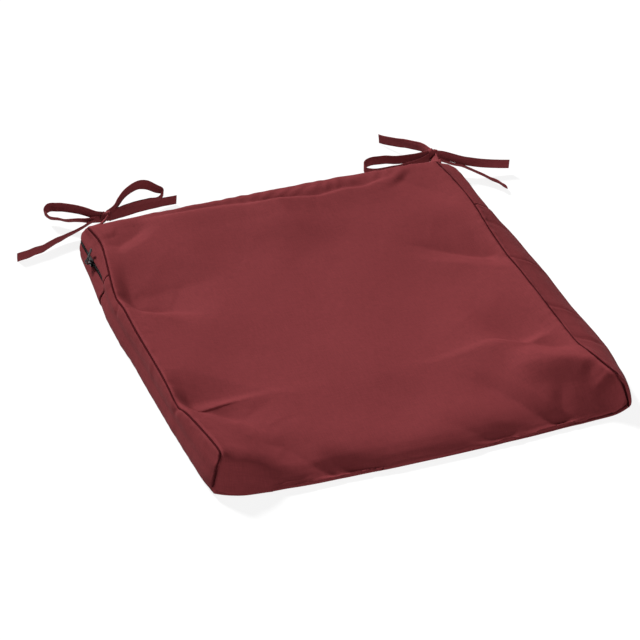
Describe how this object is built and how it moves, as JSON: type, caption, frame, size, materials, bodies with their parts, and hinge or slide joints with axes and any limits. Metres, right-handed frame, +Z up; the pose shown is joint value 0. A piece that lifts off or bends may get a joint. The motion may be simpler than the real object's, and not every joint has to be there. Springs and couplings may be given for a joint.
{
  "type": "chair seat pad",
  "caption": "Boxed seat pad: thin foam slab in a loose zipped cloth cover with waterfall front, side gussets, and a bow-tied strap at each rear corner.",
  "frame": {"origin": "centre of the flat underside of the cover, midway between the side seams", "axes": "+X to the right seen from the front, +Y to the rear where the zip and ties are, +Z up out of the seat"},
  "size_m": [0.566, 0.5928, 0.048],
  "materials": {
    "cover_cloth": "woven polyester, soft satin",
    "tie_cloth": "folded self fabric, edge stitched",
    "thread": "polyester sewing thread",
    "foam": "open cell foam, matt",
    "zip_tape": "woven zip tape, matt",
    "zip_coil": "nylon coil",
    "zip_metal": "black enamelled zinc"
  },
  "bodies": {
    "cover": {"top_panel": "cover_cloth", "bottom_panel": "cover_cloth", "gusset_left": "cover_cloth", "gusset_right": "cover_cloth", "zip_facing_upper": "cover_cloth", "zip_facing_lower": "cover_cloth", "foam_insert": "foam", "zip_tape_upper": "zip_tape", "zip_tape_lower": "zip_tape", "zip_coil_upper": "zip_coil", "zip_coil_lower": "zip_coil", "zip_stop_left": "zip_metal", "zip_stop_right": "zip_metal", "tie_left_root": "tie_cloth", "tie_left_bar_tack": "thread", "tie_right_root": "tie_cloth", "tie_right_bar_tack": "thread"},
    "zip_slider": {"zip_slider": "zip_metal"},
    "zip_ring": {"zip_ring": "zip_metal"},
    "zip_puller": {"zip_puller": "zip_metal"},
    "tie_left": {"tie_left_knot": "tie_cloth", "tie_left_loop_outer": "tie_cloth", "tie_left_loop_inner": "tie_cloth", "tie_left_tail_outer": "tie_cloth", "tie_left_tail_inner": "tie_cloth"},
    "tie_right": {"tie_right_knot": "tie_cloth", "tie_right_loop_inner": "tie_cloth", "tie_right_tail_rear": "tie_cloth", "tie_right_loop_outer": "tie_cloth", "tie_right_tail_front": "tie_cloth"}
  },
  "joints": [
    {"name": "zip_slide", "type": "slide", "parent": "cover", "child": "zip_slider", "axis": [0, 1, 0], "range_m": [-0.04, 0.038]},
    {"name": "zip_ring_swing", "type": "hinge", "parent": "zip_slider", "child": "zip_ring", "pos_m": [-0.2179, 0.181, 0.028], "axis": [0, 1, 0], "range_deg": [-180, 0]},
    {"name": "zip_puller_swivel", "type": "hinge", "parent": "zip_ring", "child": "zip_puller", "pos_m": [-0.21605, 0.181, 0.03259], "axis": [0.9272, 0, -0.3746], "range_deg": [-60, 60]},
    {"name": "tie_left_lift", "type": "hinge", "parent": "cover", "child": "tie_left", "pos_m": [-0.198, 0.2296, 0.0372], "axis": [1, 0, 0], "range_deg": [0, 120]},
    {"name": "tie_right_lift", "type": "hinge", "parent": "cover", "child": "tie_right", "pos_m": [0.196, 0.2296, 0.0372], "axis": [1, 0, 0], "range_deg": [0, 120]}
  ]
}
